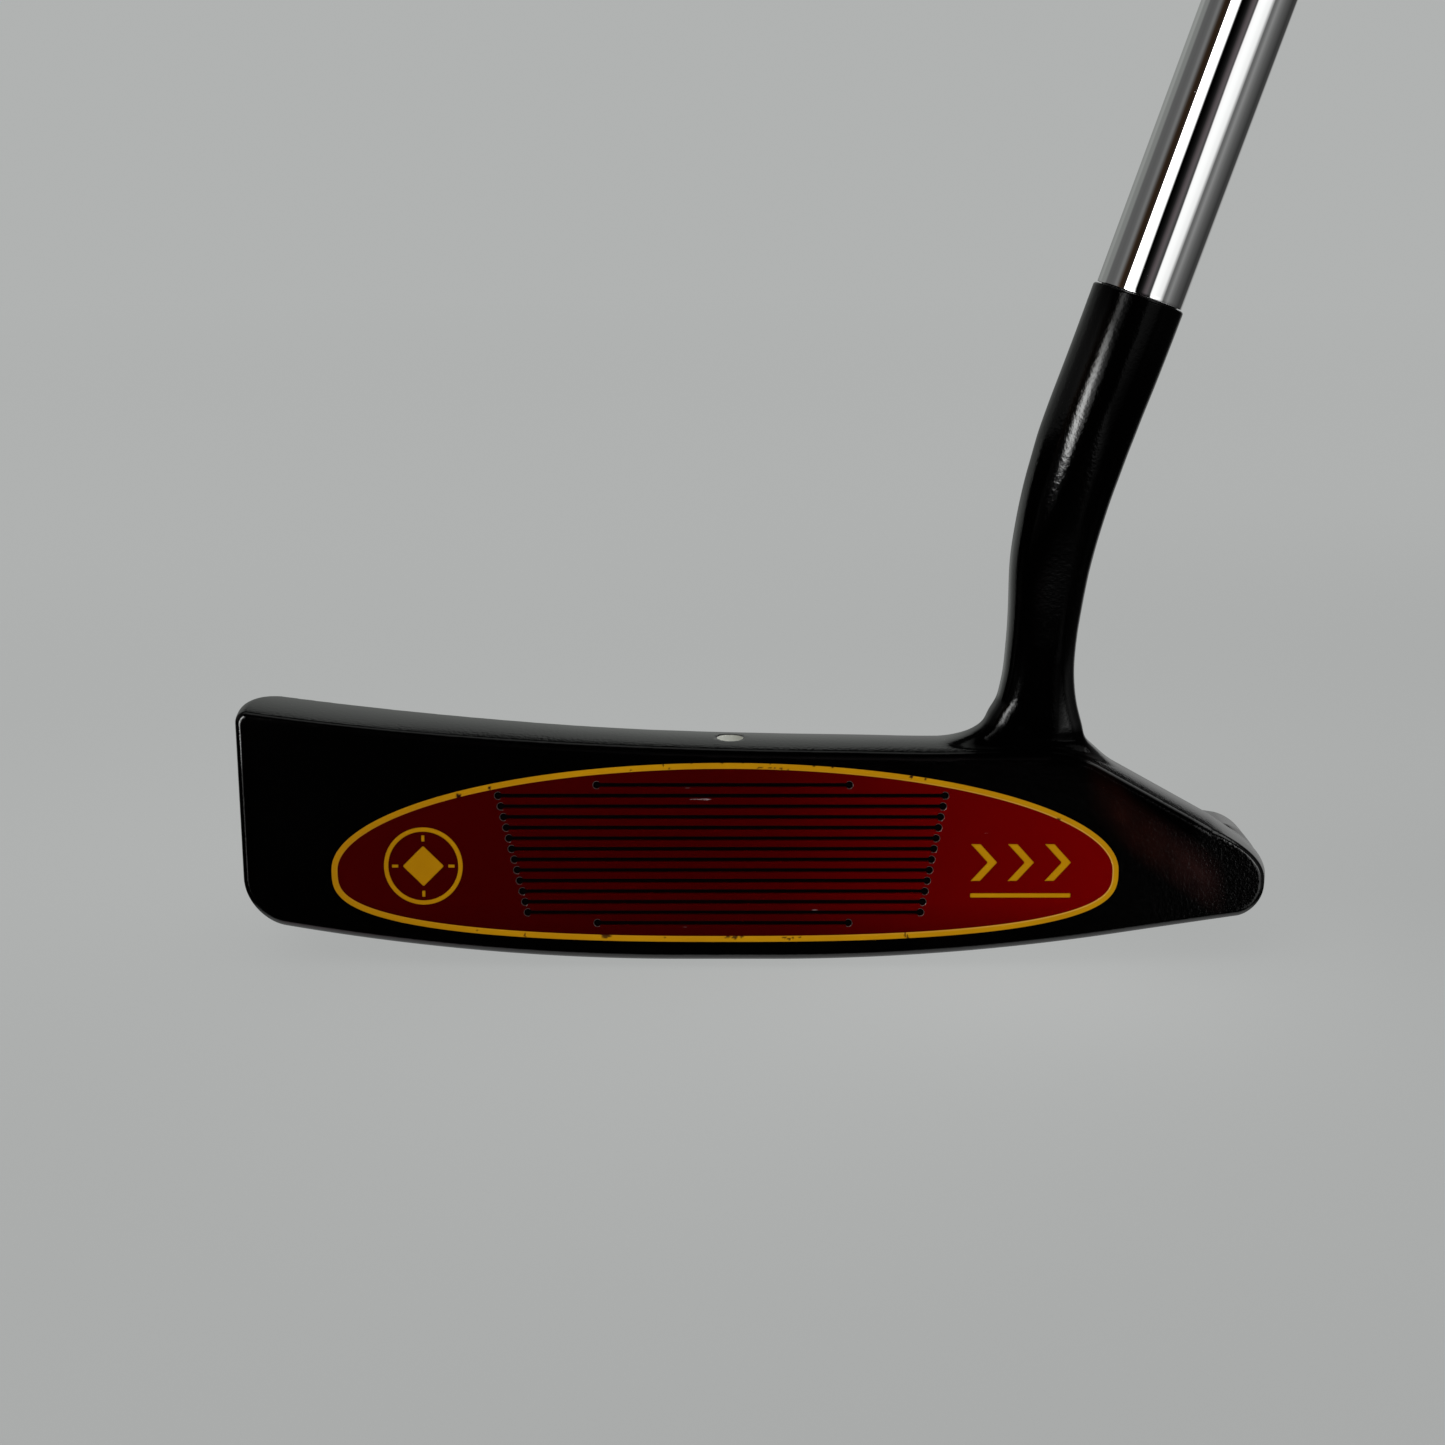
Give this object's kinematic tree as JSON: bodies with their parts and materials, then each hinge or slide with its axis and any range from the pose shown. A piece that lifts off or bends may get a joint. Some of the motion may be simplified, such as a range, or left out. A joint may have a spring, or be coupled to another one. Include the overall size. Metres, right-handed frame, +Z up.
{
  "type": "blade putter",
  "caption": "Heel-toe weighted blade putter with a flow neck, grooved face insert, stepped steel shaft and pistol grip, right-handed, at its address pose.",
  "frame": {"origin": "centre of the small flat land under the sole, 12.5 mm behind the leading edge, with the club at its address pose", "axes": "+X from toe to heel, -Y the way the face looks and the ball leaves, +Z up from the ground; the shaft leans 19 degrees from +Z towards +X"},
  "size_m": [0.3686, 0.0394, 0.8201],
  "materials": {
    "head_black": "gloss",
    "insert_red": "satin",
    "polymer_black": "matte",
    "adhesive_clear": "matte",
    "paint_yellow": "gloss",
    "paint_white": "gloss",
    "epoxy_dark": "gloss",
    "shaft_chrome": "polished",
    "band_dark": "gloss",
    "tape_cream": "matte",
    "grip_rubber": "matte",
    "paint_grey": "gloss",
    "cap_rubber": "matte"
  },
  "bodies": {
    "root": {"head": "head_black", "insert_plate": "insert_red", "insert_polymer": "polymer_black", "insert_adhesive": "adhesive_clear", "insert_border": "paint_yellow", "toe_mark_fill": "paint_yellow", "heel_mark_fill": "paint_yellow", "sight_dot": "paint_white", "hosel_epoxy": "epoxy_dark", "shaft": "shaft_chrome", "shaft_band": "band_dark", "grip_tape": "tape_cream", "grip": "grip_rubber", "grip_line_fill": "paint_grey", "grip_cap": "cap_rubber"}
  },
  "joints": []
}
